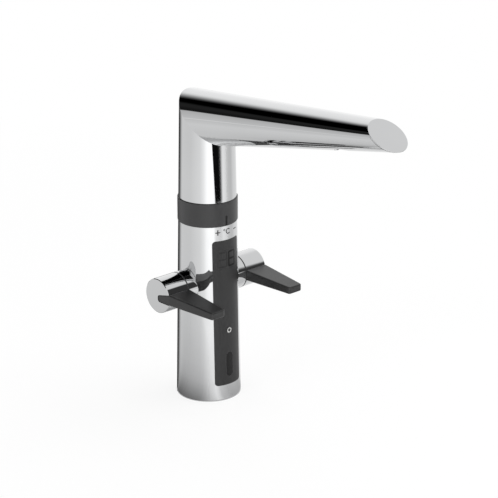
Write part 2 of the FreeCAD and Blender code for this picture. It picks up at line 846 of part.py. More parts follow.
def make_parts():
    parts = {
        "body_shell": column_body(),
        "valve_body": valve_body(),
        "base_seal": base_seal(),
        "cable_gland": cable_gland(),
        "control_panel": control_panel(),
        "panel_gasket": panel_gasket(),
        "display_lens": display_lens(),
        "display_module": board_block(lens_half_width, display_depth, lens_bottom, lens_top),
        "sensor_window": sensor_window(),
        "sensor_module": board_block(sensor_module_half_width, sensor_module_depth,
                                     sensor_bottom, sensor_top),
        "control_board": control_board(),
        "board_screws": board_screws(),
        "tact_switch": tact_switch(),
        "mode_button": mode_button(),
        "button_light_ring": button_light_ring(),
        "swivel_post": swivel_post(),
        "swivel_o_rings": swivel_o_rings(),
        "ring_bush": ring_bush(),
        "slide_ring": slide_ring(),
        "hall_sensor": hall_block(0),
        "temperature_ring": temperature_ring(),
        "ring_magnets": ring_magnets(),
        "spout_riser": spout_riser(),
        "spout_arm": spout_arm(),
        "spout_end_cap": spout_end_cap(),
        "spout_set_screw": set_screw(0),
        "swivel_bush": swivel_bush(),
        "outlet_hose": outlet_hose(),
        "aerator_housing": aerator_housing(),
        "aerator_insert": aerator_insert(),
        "aerator_seal": aerator_seal(),
    }
    for name, side in SIDES.items():
        parts[name + "_cartridge"] = cartridge(side)
        parts[name + "_cartridge_seal"] = cartridge_seal(side)
        parts[name + "_cartridge_nut"] = cartridge_nut(side)
        parts[name + "_fixed_disc"] = fixed_disc(side)
        parts[name + "_moving_disc"] = moving_disc(side)
        parts[name + "_spindle"] = spindle(side)
        parts[name + "_hub"] = hub(side)
        parts[name + "_lever"] = lever(side)
        parts[name + "_lever_screw"] = grub_hole(side, 0)
    return parts


os.makedirs("parts", exist_ok=True)
for node, shape in make_parts().items():
    shape.exportStep("parts/" + node + ".step")
    solids = len(shape.Solids)
    print(f"{node}: {solids} solid(s), valid {shape.isValid()}, {shape.Volume:.1f} mm3")
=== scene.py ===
# %% [markdown]
# # An electronic kitchen tap, step by step
# The engineering model gives every solid of the tap at its real size. This lesson dresses it:
# a camera, a small photo studio, a finish for each material, and the fine pieces that are too
# small for the solids. Everything is in metres, and the panel and the spout face -Y.

# %% Load the solids
import json
import math
import bpy
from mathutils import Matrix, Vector


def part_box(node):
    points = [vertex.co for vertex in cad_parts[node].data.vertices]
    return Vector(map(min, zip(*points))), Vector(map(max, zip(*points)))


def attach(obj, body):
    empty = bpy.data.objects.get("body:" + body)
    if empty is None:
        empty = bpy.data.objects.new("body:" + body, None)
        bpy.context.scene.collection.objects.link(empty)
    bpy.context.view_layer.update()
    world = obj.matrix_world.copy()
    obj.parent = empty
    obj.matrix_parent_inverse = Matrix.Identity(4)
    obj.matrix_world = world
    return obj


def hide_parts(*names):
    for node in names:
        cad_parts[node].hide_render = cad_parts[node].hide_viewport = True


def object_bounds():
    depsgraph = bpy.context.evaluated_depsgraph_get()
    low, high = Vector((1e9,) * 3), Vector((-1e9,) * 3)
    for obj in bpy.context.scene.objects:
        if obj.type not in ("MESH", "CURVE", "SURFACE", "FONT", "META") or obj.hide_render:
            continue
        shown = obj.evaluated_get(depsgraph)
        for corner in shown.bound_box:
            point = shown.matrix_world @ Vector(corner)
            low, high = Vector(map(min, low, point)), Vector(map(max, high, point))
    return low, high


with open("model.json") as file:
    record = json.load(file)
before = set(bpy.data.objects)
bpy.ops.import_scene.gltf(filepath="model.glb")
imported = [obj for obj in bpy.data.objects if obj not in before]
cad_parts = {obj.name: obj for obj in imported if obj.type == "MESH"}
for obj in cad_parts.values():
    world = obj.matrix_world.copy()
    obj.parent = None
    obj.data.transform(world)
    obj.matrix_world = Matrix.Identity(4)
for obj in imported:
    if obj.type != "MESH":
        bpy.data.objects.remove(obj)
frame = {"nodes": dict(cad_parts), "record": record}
cad_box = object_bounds()
nodes = frame["nodes"]
scene = bpy.context.scene
MM = 0.001

# %% [markdown]
# ## Camera
# The photograph was taken from the front left and a little above, with a long lens. A camera
# can be aimed by hand, but turning a distance and two angles into a place keeps it exact.

# %% Camera
view_azimuth = math.radians(-42.709)
view_elevation = math.radians(20.032)
view_distance = 1.855
view_target = Vector((0.02673, -0.02468, 0.13495))
sensor_width = 36.0
photo_pixels = 498
focal_pixels = 2095.0


def heading(azimuth, elevation):
    """Direction away from the tap: azimuth 0 is the front, 90 is the right."""
    turn = math.radians(azimuth)
    tilt = math.radians(elevation)
    return Vector((math.sin(turn) * math.cos(tilt), -math.cos(turn) * math.cos(tilt), math.sin(tilt)))


towards_camera = heading(math.degrees(view_azimuth), math.degrees(view_elevation))
bpy.ops.object.camera_add(location=view_target + towards_camera * view_distance)
camera = bpy.context.object
camera.rotation_euler = (-towards_camera).to_track_quat("-Z", "Y").to_euler()
camera.data.sensor_width = sensor_width
camera.data.lens = focal_pixels * sensor_width / photo_pixels
scene.camera = camera
scene.view_settings.view_transform = "Standard"
print("camera lens", round(camera.data.lens, 1), "mm")


# %% [markdown]
# ## Studio: the white room
# Chrome has no colour of its own: it shows the room. So the room is built first. The world is
# plain white where the camera or a reflection sees it, and a softer fill for everything else.
# Both the world and the floor need to know which kind of ray asks, so that is one helper.

# %% World
def seen_or_mirrored(tree):
    """Socket that is 1 for camera, glossy and transmission rays."""
    path = tree.nodes.new("ShaderNodeLightPath")
    socket = path.outputs["Is Camera Ray"]
    for ray in ("Is Glossy Ray", "Is Transmission Ray"):
        either = tree.nodes.new("ShaderNodeMath")
        either.operation = "MAXIMUM"
        tree.links.new(socket, either.inputs[0])
        tree.links.new(path.outputs[ray], either.inputs[1])
        socket = either.outputs[0]
    return socket


fill_strength = 0.6
world = bpy.data.worlds.new("studio_world")
scene.world = world
world.use_nodes = True
tree = world.node_tree
tree.nodes.clear()
mix = tree.nodes.new("ShaderNodeMixShader")
tree.links.new(seen_or_mirrored(tree), mix.inputs["Fac"])
for slot, strength in ((1, fill_strength), (2, 1.0)):
    glow = tree.nodes.new("ShaderNodeBackground")
    glow.inputs["Color"].default_value = (1, 1, 1, 1)
    glow.inputs["Strength"].default_value = strength
    tree.links.new(glow.outputs[0], mix.inputs[slot])
world_out = tree.nodes.new("ShaderNodeOutputWorld")
tree.links.new(mix.outputs[0], world_out.inputs["Surface"])
print("world: white background, fill", fill_strength)

# %% [markdown]
# ## Studio: lamps
# Two large soft lamps shape the satin parts: one high on the right, one on the left. They are
# kept out of reflections, because the cards below decide what the chrome shows.

# %% Lamps
studio_middle = Vector((0, 0, cad_box[1][2] / 2))


def softbox(name, azimuth, elevation, distance, size, power):
    """A square area lamp aimed at the middle of the tap."""
    away = heading(azimuth, elevation)
    bpy.ops.object.light_add(type="AREA", location=studio_middle + away * distance)
    lamp = bpy.context.object
    lamp.name = name
    lamp.data.size = size
    lamp.data.energy = power
    lamp.rotation_euler = (-away).to_track_quat("-Z", "Y").to_euler()
    lamp.visible_glossy = False
    print("lamp", name, power, "W")


softbox("key_softbox", azimuth=60, elevation=62, distance=2.2, size=1.6, power=24)
softbox("left_softbox", azimuth=-85, elevation=30, distance=2.2, size=1.2, power=10)

# %% [markdown]
# ## Studio: floor
# A pale sheet with no edge in view. Most of what the camera sees of it is plain white, and the
# rest is real paper, so the soft shadow of the tap stays on it.

# %% Floor
floor_size = 12.0
paper_white = (0.97, 0.97, 0.97, 1)
paper_roughness = 0.9
paper_share = 0.16
paper_near = 0.3
paper_far = 0.9
bpy.ops.object.select_all(action="DESELECT")
bpy.ops.mesh.primitive_plane_add(size=floor_size)
floor = bpy.context.object
floor.name = "floor_sheet"
paper = bpy.data.materials.new("floor_paper")
paper.use_nodes = True
tree = paper.node_tree
sheet = tree.nodes["Principled BSDF"]
sheet.inputs["Base Color"].default_value = paper_white
sheet.inputs["Roughness"].default_value = paper_roughness
sheet.inputs["Specular IOR Level"].default_value = 0.0
plain = tree.nodes.new("ShaderNodeEmission")
place = tree.nodes.new("ShaderNodeTexCoord")
reach = tree.nodes.new("ShaderNodeVectorMath")
reach.operation = "LENGTH"
tree.links.new(place.outputs["Object"], reach.inputs[0])
whiteness = tree.nodes.new("ShaderNodeMapRange")
whiteness.inputs["From Min"].default_value = paper_near
whiteness.inputs["From Max"].default_value = paper_far
whiteness.inputs["To Min"].default_value = 1 - paper_share
tree.links.new(reach.outputs["Value"], whiteness.inputs["Value"])
share = tree.nodes.new("ShaderNodeMath")
share.operation = "MULTIPLY"
tree.links.new(seen_or_mirrored(tree), share.inputs[0])
tree.links.new(whiteness.outputs["Result"], share.inputs[1])
mix = tree.nodes.new("ShaderNodeMixShader")
tree.links.new(share.outputs[0], mix.inputs["Fac"])
tree.links.new(sheet.outputs[0], mix.inputs[1])
tree.links.new(plain.outputs[0], mix.inputs[2])
tree.links.new(mix.outputs[0], tree.nodes["Material Output"].inputs["Surface"])
floor.data.materials.append(paper)
print("floor", floor_size, "m wide")

# %% [markdown]
# ## Studio: cards
# A product photographer shapes chrome with black flags and white cards that stand or lie out of
# the picture. Each card here is a grid bent onto a part of the sky, or onto a sector of the
# floor. Two ramps say how well it covers, across (degrees) and along (degrees up, or
# millimetres out), so an edge can be hard or soft. Only reflections see the cards.

# %% Card helper
sky_distance = 4.0
card_steps = 32


def sky_point(azimuth, elevation, level):
    return studio_middle + heading(azimuth, elevation) * (sky_distance - level)


def floor_point(azimuth, distance, level):
    return heading(azimuth, 0) * (distance * MM) + Vector((0, 0, level))


left_edge = heading(math.degrees(view_azimuth) - 90, 0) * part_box("body_shell")[1].y


def left_edge_point(azimuth, distance, level):
    """As floor_point, about the left edge of the column as the camera sees it."""
    return left_edge + floor_point(azimuth, distance, level)


wedge_right = 383
wedge_left = 346.2
wedge_start = 683
wedge_spread = 0.043


def wedge_point(azimuth, distance, level):
    """As floor_point, with a left side that spreads with the distance."""
    share = (wedge_right - azimuth) / (wedge_right - wedge_left)
    return floor_point(azimuth - share * wedge_spread * (distance - wedge_start), distance, level)


left_hub_middle = sum(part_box("left_hub"), Vector()) / 2
hub_flag_distance = 0.6


def left_hub_point(azimuth, elevation, level):
    """As sky_point, close to the left hub, so that the right one sees it elsewhere."""
    return left_hub_middle + heading(azimuth, elevation) * (hub_flag_distance - level)


def cover_ramp(tree, socket, stops):
    """How well a card covers, from (place, cover) pairs along one of its sides."""
    ramp = tree.nodes.new("ShaderNodeValToRGB")
    low = stops[0][0]
    span = stops[-1][0] - low
    for place, _ in stops[1:-1]:
        ramp.color_ramp.elements.new((place - low) / span)
    for element, (_, cover) in zip(ramp.color_ramp.elements, stops):
        element.color = (cover, cover, cover, 1)
    tree.links.new(socket, ramp.inputs["Fac"])
    return ramp.outputs["Color"]


def between(stops, share):
    """The place at a share of the way from the first stop to the last."""
    return stops[0][0] + share * (stops[-1][0] - stops[0][0])


def card(name, point, across, along, strength, level=0.0):
    """A black (strength 0) or bright card that only reflections see."""
    bpy.ops.object.select_all(action="DESELECT")
    bpy.ops.mesh.primitive_grid_add(x_subdivisions=card_steps, y_subdivisions=card_steps, size=1)
    made = bpy.context.object
    made.name = name
    for corner in made.data.vertices:
        share_across = corner.co.x + 0.5
        share_along = corner.co.y + 0.5
        corner.co = point(between(across, share_across), between(along, share_along), level)
    material = bpy.data.materials.new(name)
    material.use_nodes = True
    tree = material.node_tree
    tree.nodes.clear()
    place = tree.nodes.new("ShaderNodeTexCoord")
    sides = tree.nodes.new("ShaderNodeSeparateXYZ")
    tree.links.new(place.outputs["UV"], sides.inputs[0])
    cover = tree.nodes.new("ShaderNodeMath")
    cover.operation = "MULTIPLY"
    tree.links.new(cover_ramp(tree, sides.outputs["X"], across), cover.inputs[0])
    tree.links.new(cover_ramp(tree, sides.outputs["Y"], along), cover.inputs[1])
    clear = tree.nodes.new("ShaderNodeBsdfTransparent")
    glow = tree.nodes.new("ShaderNodeEmission")
    glow.inputs["Strength"].default_value = strength
    mix = tree.nodes.new("ShaderNodeMixShader")
    tree.links.new(cover.outputs[0], mix.inputs["Fac"])
    tree.links.new(clear.outputs[0], mix.inputs[1])
    tree.links.new(glow.outputs[0], mix.inputs[2])
    out = tree.nodes.new("ShaderNodeOutputMaterial")
    tree.links.new(mix.outputs[0], out.inputs["Surface"])
    made.data.materials.append(material)
    made.visible_camera = False
    made.visible_diffuse = False
    made.visible_transmission = False
    made.visible_shadow = False
    print("card", name, "strength", strength)


# %% [markdown]
# ## Studio: cards in the sky
# Black flags behind the tap draw the dark band along the spout, and flags at the side draw the
# bands on the hubs. White glows lighten what lies beside the bands. Each soft edge of a ramp is a
# soft edge in the chrome, so an edge can be moved by a degree until it sits where it should.

# %% Cards in the sky
card("back_glow", sky_point, strength=1.2,
     across=((112, 0), (128, 1), (160, 1), (170, 0)),
     along=((-2, 0.9), (30, 1), (40, 0.6), (50, 0)))
card("back_flag", sky_point, strength=0.0, level=0.1,
     across=((155, 0), (159.5, 0.1), (163, 0.23), (166.5, 0.42), (170, 0.58), (174, 0.78), (178, 0.93),
             (183, 1), (284, 1), (292, 0)),
     along=((0, 0.17), (10, 0.25), (19, 0.33), (20.5, 1), (62, 1), (75, 0)))
card("flag_sheen", sky_point, strength=0.022, level=0.2,
     across=((180, 0), (196, 1), (236, 1)),
     along=((20.5, 0.6), (25, 0.6), (29, 1), (33, 1), (36, 0)))
card("corner_glow", sky_point, strength=1.0, level=0.3,
     across=((238, 0), (248, 1), (294, 1)),
     along=((2, 0), (8, 1), (24, 1), (30, 0)))
card("hub_flag", left_hub_point, strength=0.05,
     across=((28, 0), (32, 1), (45, 1), (48, 0.5), (51, 0)),
     along=((2, 0), (6, 1), (32, 1), (36, 0)))
card("right_flag", sky_point, strength=0.08,
     across=((33, 0), (37, 1), (43, 1), (47, 0)),
     along=((2, 0), (5, 1), (14, 1), (17, 0.8), (21, 0.35), (26, 0.05), (30, 0)))
card("high_flag", sky_point, strength=0.015,
     across=((280, 0), (290, 1), (345, 1), (352, 0)),
     along=((32, 0), (37, 1), (62, 1), (70, 0)))

# %% [markdown]
# ## Studio: cards on the floor
# Seen from above, an upright mirror shows the floor: the foot shows what lies near, the riser what
# lies far. So a strip draws the dark left edge of the column, a far wedge the dark stripe of
# the riser, and the shades and glows make the greys and the bright middle between them.

# %% Cards on the floor
card("contact_shade", floor_point, strength=0.0, level=0.0002,
     across=((0, 0.5), (30, 0.5), (60, 0.45), (80, 0.15), (100, 0.05), (140, 0.3), (200, 0.8), (230, 1),
             (300, 0.9), (320, 0.5), (360, 0.5)),
     along=((30, 0.82), (50, 0.6), (80, 0.35), (120, 0.24), (220, 0.13), (420, 0.06), (700, 0.03),
            (1200, 0.1), (2500, 0.15), (3900, 0.17)))
card("left_edge_strip", left_edge_point, strength=0.0, level=0.0004,
     across=((136, 1), (166, 0.95), (176, 0.82), (182, 0.66), (188, 0.36), (194, 0.12), (202, 0)),
     along=((-6, 1), (900, 1), (1300, 0)))
card("front_glow", floor_point, strength=1.75, level=0.0006,
     across=((250, 0), (290, 0.2), (304, 0.5), (314, 0.85), (322, 1), (340, 1), (350, 0.3), (372, 0)),
     along=((30, 0.1), (60, 0.2), (120, 0.35), (220, 0.6), (420, 0.9), (600, 1), (1200, 1)))
card("base_glow", floor_point, strength=1.75, level=0.0007,
     across=((318, 0), (330, 0.6), (337, 1), (343, 0.8), (350, 0.3), (372, 0)),
     along=((30, 0.4), (60, 0.4), (120, 0.35), (250, 0.25), (420, 0)))
card("right_glow", floor_point, strength=1.3, level=0.0008,
     across=((368, 0), (380, 1), (392, 0.6), (402, 0)),
     along=((200, 0.6), (600, 1), (1200, 1)))
card("right_shade", floor_point, strength=0.0, level=0.001,
     across=((396, 0), (410, 0.17), (424, 0.2), (440, 0)),
     along=((30, 0.5), (600, 1), (1200, 1)))
card("front_wedge", wedge_point, strength=0.006, level=0.0012,
     across=((wedge_left, 1), (365, 1), (368, 0.97), (371, 0.88), (374, 0.63), (376.7, 0.31),
             (379.6, 0.12), (wedge_right, 0)),
     along=((600, 0), (640, 1), (1100, 1), (1300, 0)))


# %% [markdown]
# ## Finishes
# Each finish is one Principled shader. A noise in Object coordinates varies its colour and its
# roughness, and a finer noise gives it a skin, so no surface is one flat value.

# %% Finish helper
cloud_detail = 4.0
cloud_shade_stops = (0.35, 0.65)
skin_scale = 900.0
skin_height = 0.1 * MM


def finish(name, colour, roughness, metallic=0.0, tint=0.06, wear=0.06, grain=40.0, skin=0.02,
           specular=0.5):
    """A material whose colour, roughness and skin come from noise."""
    material = bpy.data.materials.new(name)
    material.use_nodes = True
    made = material.node_tree
    shader = made.nodes["Principled BSDF"]
    place = made.nodes.new("ShaderNodeTexCoord")
    cloud = made.nodes.new("ShaderNodeTexNoise")
    cloud.inputs["Scale"].default_value = grain
    cloud.inputs["Detail"].default_value = cloud_detail
    made.links.new(place.outputs["Object"], cloud.inputs["Vector"])
    shades = made.nodes.new("ShaderNodeValToRGB")
    tints = (1 - tint, 1 + tint)
    for stop, position, side in zip(shades.color_ramp.elements, cloud_shade_stops, tints):
        stop.color = tuple(min(1.0, part * side) for part in colour) + (1,)
        stop.position = position
    made.links.new(cloud.outputs["Fac"], shades.inputs["Fac"])
    made.links.new(shades.outputs["Color"], shader.inputs["Base Color"])
    sheen = made.nodes.new("ShaderNodeMapRange")
    sheen.inputs["To Min"].default_value = max(0.0, roughness - wear)
    sheen.inputs["To Max"].default_value = roughness + wear
    made.links.new(cloud.outputs["Fac"], sheen.inputs["Value"])
    made.links.new(sheen.outputs["Result"], shader.inputs["Roughness"])
    fine = made.nodes.new("ShaderNodeTexNoise")
    fine.inputs["Scale"].default_value = skin_scale
    made.links.new(place.outputs["Object"], fine.inputs["Vector"])
    bump = made.nodes.new("ShaderNodeBump")
    bump.inputs["Strength"].default_value = skin
    bump.inputs["Distance"].default_value = skin_height
    made.links.new(fine.outputs["Fac"], bump.inputs["Height"])
    made.links.new(bump.outputs["Normal"], shader.inputs["Normal"])
    shader.inputs["Metallic"].default_value = metallic
    shader.inputs["Specular IOR Level"].default_value = specular
    return material


# %% Finishes of the tap
finishes = {
    "chrome": finish("polished_chrome", (0.58, 0.585, 0.59), roughness=0.03, metallic=1.0, tint=0.01,
                     wear=0.012, grain=18.0, skin=0.0),
    "ring_dark": finish("ring_lacquer", (0.03, 0.03, 0.031), roughness=0.42),
    "lever_dark": finish("lever_lacquer", (0.014, 0.014, 0.0143), roughness=0.38),
    "panel_dark": finish("panel_plastic", (0.014, 0.014, 0.0144), roughness=0.45),
    "smoked": finish("smoked_window", (0.008, 0.008, 0.0083), roughness=0.15, specular=0.25),
    "brass": finish("cast_brass", (0.72, 0.53, 0.26), roughness=0.38, metallic=1.0),
    "rubber": finish("seal_rubber", (0.03, 0.03, 0.03), roughness=0.7),
    "ceramic": finish("lapped_ceramic", (0.86, 0.86, 0.84), roughness=0.2),
    "plastic_white": finish("white_plastic", (0.82, 0.82, 0.8), roughness=0.4),
    "plastic_black": finish("black_plastic", (0.035, 0.035, 0.036), roughness=0.4),
    "plastic_grey": finish("grey_plastic", (0.5, 0.5, 0.51), roughness=0.4),
    "board_green": finish("board_mask", (0.04, 0.18, 0.09), roughness=0.35),
    "steel": finish("screw_steel", (0.55, 0.55, 0.56), roughness=0.3, metallic=1.0),
    "hose": finish("hose_rubber", (0.2, 0.2, 0.21), roughness=0.5),
}
for row in frame["record"]["subparts"]:
    mesh = nodes[row["node"]].data
    mesh.materials.clear()
    mesh.materials.append(finishes[row["material_slot"]])
display_face = finish("display_face", (0.014, 0.014, 0.0144), roughness=0.4)
nodes["display_lens"].data.materials[0] = display_face
print("finishes:", len(finishes))

# %% [markdown]
# ## Pieces: small tools
# Each new piece goes the same way. It starts as a primitive, is shaped in edit mode, gets its
# modifiers applied, and is told which body of the tap it rides on. By hand these are the same few
# clicks every time, so here they are a few short helpers.

# %% Piece helpers
smooth_angle = math.radians(35)
FACING_FRONT = (math.pi / 2, 0, 0)
FACING_SIDE = (0, math.pi / 2, 0)


def select_only(*pieces):
    """Select these pieces and nothing else. The first one is active."""
    bpy.ops.object.select_all(action="DESELECT")
    for piece in pieces:
        piece.select_set(True)
    bpy.context.view_layer.objects.active = pieces[0]


def edit(piece, elements="FACE"):
    """Edit mode, with the whole mesh selected."""
    select_only(piece)
    bpy.ops.object.mode_set(mode="EDIT")
    bpy.ops.mesh.select_mode(type=elements)
    bpy.ops.mesh.select_all(action="SELECT")


def select_faces(piece, test):
    """In edit mode, select only the faces that pass a test."""
    bpy.ops.mesh.select_all(action="DESELECT")
    bpy.ops.object.mode_set(mode="OBJECT")
    for face in piece.data.polygons:
        face.select = test(face)
    bpy.ops.object.mode_set(mode="EDIT")


def leave_edit():
    bpy.ops.object.mode_set(mode="OBJECT")


def modify(piece, kind, **settings):
    """Add a modifier and apply it at once."""
    select_only(piece)
    modifier = piece.modifiers.new(kind.lower(), kind)
    for name, value in settings.items():
        setattr(modifier, name, value)
    bpy.ops.object.modifier_apply(modifier=modifier.name)


def cut_with(piece, cutter):
    """Take a cutter's shape out of a piece, and throw the cutter away."""
    modify(piece, "BOOLEAN", operation="DIFFERENCE", solver="EXACT", object=cutter)
    bpy.data.objects.remove(cutter)


def dress(piece, name, body, slot, material, *hidden):
    """Finish a piece: its name, its material, its body and the solids it stands for."""
    select_only(piece)
    bpy.ops.object.transform_apply()
    bpy.ops.object.shade_smooth_by_angle(angle=smooth_angle)
    piece.name = name
    piece.data.materials.clear()
    piece.data.materials.append(material)
    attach(piece, body)
    if hidden:
        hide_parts(*hidden)
    print(name, "rides on", body, "with", len(piece.data.polygons), "faces")


def rod(radius, length, middle, turn, sides):
    """A plain cylinder, as a start or as a cutter."""
    bpy.ops.object.select_all(action="DESELECT")
    bpy.ops.mesh.primitive_cylinder_add(vertices=sides, radius=radius, depth=length,
                                        location=middle, rotation=turn)
    return bpy.context.object


# %% [markdown]
# ## Spout: the tube
# The real spout is one drawn tube: a round riser and an arm that narrows to an oval, welded on a
# slanted saw cut and polished. Mirrors show every facet, so the solids' coarse triangles are
# replaced by a fine tube. A curve with a bevel keeps one section all along, and this section
# changes, so two ovals are bridged instead. Both tubes start too long and are sawn to length.

# %% Spout sizes
tube_sides = 256
tube_rings = 30
spare_share = 0.12
column_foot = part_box("body_shell")[1].y
column_taper_share = 0.018
spout_wall = 1.2 * MM
fit_gap = 0.1 * MM
riser_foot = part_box("spout_riser")[0].z
riser_rise = 71.8 * MM
mitre_height = riser_foot + riser_rise
arm_rise = math.radians(7.83)
arm_length = 218.4 * MM
arm_root_half_wide = 24.1 * MM
arm_root_half_high = 23.7 * MM
arm_end_half_wide = 17.0 * MM
arm_end_half_high = 12.2 * MM
end_slope = math.tan(math.radians(47.9))
cap_thickness = 0.9 * MM
cap_play = 0.02 * MM
groove_width = 0.9 * MM
groove_top_share = 0.4
aerator_distance = 170.2 * MM
aerator_radius = 11.0 * MM
aerator_hole_sides = 128
screw_hole_sides = 64


def column_radius(height):
    return column_foot - column_taper_share * height


arm_start = Vector((0, 0, mitre_height))
arm_axis = Vector((0, -math.cos(arm_rise), math.sin(arm_rise)))
arm_up = Vector((0, math.sin(arm_rise), math.cos(arm_rise)))
arm_taper = (arm_root_half_high - arm_end_half_high) / arm_length
arm_narrowing = (arm_root_half_wide - arm_end_half_wide) / arm_length
mitre_lift = arm_root_half_high / column_radius(mitre_height)
mitre_slope = (mitre_lift - math.sin(arm_rise)) / math.cos(arm_rise)
mitre_square = Vector((0, -mitre_slope, 1))
end_square = (arm_axis + arm_up * end_slope).normalized()


def mitre_oval():
    """Middle, half width and half height of the saw cut between riser and arm."""
    radius = column_radius(mitre_height)
    back = radius / (1 + column_taper_share * mitre_slope)
    front = -radius / (1 - column_taper_share * mitre_slope)
    middle = (back + front) / 2
    half_up = Vector((0, 1, mitre_slope)) * ((back - front) / 2)
    centre = Vector((0, middle, mitre_height + mitre_slope * middle))
    half_wide = math.sqrt(column_radius(centre.z) ** 2 - middle ** 2)
    return centre, half_wide, half_up


def end_oval():
    """The same for the slanted end of the arm."""
    top = arm_end_half_high / (1 - arm_taper * end_slope)
    bottom = -arm_end_half_high / (1 + arm_taper * end_slope)
    middle = (top + bottom) / 2
    along = arm_length - middle * end_slope
    centre = arm_start + arm_axis * along + arm_up * middle
    half_up = (arm_up - arm_axis * end_slope) * ((top - bottom) / 2)
    share = middle / (arm_root_half_high - arm_taper * along)
    wide = arm_root_half_wide - arm_narrowing * along
    return centre, wide * math.sqrt(1 - share ** 2), half_up


print("mitre at", round(mitre_height / MM, 1), "mm, end oval", round(end_oval()[1] / MM, 2), "mm")


# %% Spout arm
def set_oval(share, inset):
    """A ring of points, at a share of the way from the mitre to the end."""
    start, end = mitre_oval(), end_oval()
    centre, half_wide, half_up = (a + (b - a) * share for a, b in zip(start, end))
    lean = math.atan2(half_up.z, half_up.y)
    bpy.ops.object.select_all(action="DESELECT")
    bpy.ops.mesh.primitive_circle_add(vertices=tube_sides, radius=1, location=centre,
                                      rotation=(lean, 0, 0))
    ring = bpy.context.object
    ring.scale = (half_wide - inset, half_up.length - inset, 1)
    bpy.ops.object.transform_apply()
    return ring


def saw(piece, point, square):
    """Cut off what lies past a plane, and close the cut."""
    edit(piece)
    bpy.ops.mesh.bisect(plane_co=point, plane_no=square, clear_outer=True, use_fill=True)
    leave_edit()


def arm_tube(inset, wall):
    """A tube from mitre to end, a little too long at both ends."""
    select_only(set_oval(-spare_share, inset), set_oval(1 + spare_share, inset))
    bpy.ops.object.join()
    tube = bpy.context.object
    edit(tube, "EDGE")
    bpy.ops.mesh.bridge_edge_loops(number_cuts=tube_rings, interpolation="LINEAR")
    bpy.ops.mesh.select_all(action="SELECT")
    bpy.ops.mesh.fill_holes(sides=0)
    bpy.ops.mesh.select_all(action="SELECT")
    bpy.ops.mesh.normals_make_consistent(inside=False)
    leave_edit()
    modify(tube, "SOLIDIFY", thickness=wall, offset=-1, use_even_offset=True)
    return tube


def end_point(setback):
    return end_oval()[0] - end_square * setback


end_half_up = end_oval()[2]
groove_opening = groove_width / (1 + groove_top_share)
groove_square = end_square - end_half_up * (groove_opening / end_half_up.length_squared)
groove_point = end_point(cap_thickness + cap_play + groove_opening * groove_top_share)
spout_tube = arm_tube(0, spout_wall)
saw(spout_tube, arm_start, -mitre_square)
saw(spout_tube, end_point(cap_thickness + cap_play), end_square)
saw(spout_tube, groove_point, groove_square)
aerator_down = (arm_axis * arm_taper - arm_up).normalized()
aerator_middle = arm_start + arm_axis * aerator_distance
aerator_drill = rod(aerator_radius + fit_gap, column_foot, aerator_middle + aerator_down * column_foot / 2,
                    aerator_down.to_track_quat("Z", "Y").to_euler(), aerator_hole_sides)
cut_with(spout_tube, aerator_drill)
dress(spout_tube, "spout_tube", "spout", "chrome", finishes["chrome"], "spout_arm")

# %% [markdown]
# ## Spout: painted shade in the cap's groove
# A dark rubber ring lies in the groove behind the end cap as painted shade: it draws the dark
# shadow line below, where the tube's end opens a little. A torus doesn't follow the oval, so the same tube
# is made again, a hair smaller, and sawn down to the wedge between tube and cap.

# %% Painted shade in the cap's groove
groove_shade_sink = 0.05 * MM
# Painted shade: this dark rubber wedge stands in for the shadow line in the groove.
groove_shade = arm_tube(groove_shade_sink, spout_wall - groove_shade_sink)
saw(groove_shade, end_point(cap_thickness + cap_play), end_square)
saw(groove_shade, groove_point + end_square * cap_play, -groove_square)
dress(groove_shade, "cap_groove_shade", "spout", "rubber", finishes["rubber"])

# %% [markdown]
# ## Spout: the riser
# The riser is the round foot of the spout, and it goes on with the column's taper. An open cone
# gets the tube's wall, is sawn along the same slant as the arm, and is drilled for the set screw.

# %% Spout riser
riser_top = mitre_height + column_foot
riser_middle = Vector((0, 0, (riser_foot + riser_top) / 2))
bpy.ops.object.select_all(action="DESELECT")
bpy.ops.mesh.primitive_cone_add(vertices=tube_sides, radius1=column_radius(riser_foot),
                                radius2=column_radius(riser_top), depth=riser_top - riser_foot,
                                location=riser_middle, end_fill_type="NOTHING")
riser_tube = bpy.context.object
bpy.ops.object.transform_apply()
modify(riser_tube, "SOLIDIFY", thickness=spout_wall, offset=-1, use_even_offset=True)
saw(riser_tube, arm_start, mitre_square)
screw_low, screw_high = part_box("spout_set_screw")
screw_middle = (screw_low + screw_high) / 2
cut_with(riser_tube, rod((screw_high.x - screw_low.x) / 2 + fit_gap, column_foot,
                         screw_middle, FACING_FRONT, screw_hole_sides))
dress(riser_tube, "riser_tube", "spout", "chrome", finishes["chrome"], "spout_riser")

# %% [markdown]
# ## Set screws
# Small headless screws with a hexagon socket hold the levers and the spout. Each is a cylinder
# with a bevelled rim, and a six-sided cutter leaves the socket, as a broach does in the factory.

# %% Set screws
socket_share = 0.56
socket_depth_share = 0.45
screw_rim_share = 0.16
screw_sides = 64
socket_sides = 6


def socket_screw(node, name, body):
    """A headless screw in the place of a solid, with its socket to the back."""
    low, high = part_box(node)
    middle = (low + high) / 2
    radius = (high.x - low.x) / 2
    length = high.y - low.y
    screw = rod(radius, length, middle, FACING_FRONT, screw_sides)
    bpy.ops.object.transform_apply()
    modify(screw, "BEVEL", width=radius * screw_rim_share, segments=2, limit_method="ANGLE")
    socket_middle = Vector((middle.x, high.y, middle.z))
    cut_with(screw, rod(radius * socket_share, length * socket_depth_share * 2, socket_middle,
                        FACING_FRONT, socket_sides))
    dress(screw, name, body, "steel", finishes["steel"], node)


socket_screw("left_lever_screw", "left_socket_screw", "left_handle")
socket_screw("right_lever_screw", "right_socket_screw", "right_handle")
socket_screw("spout_set_screw", "spout_socket_screw", "spout")

# %% [markdown]
# ## Rings
# Some small parts are rings: the dark slide ring that shows as a line between each hub and its
# sleeve, and the button's dark bezel and white light ring. A ring could be a torus, but these
# have flat sides, so a cylinder gets both ends inset and the two inner faces bridged.

# %% Ring helper
ring_sides = 96


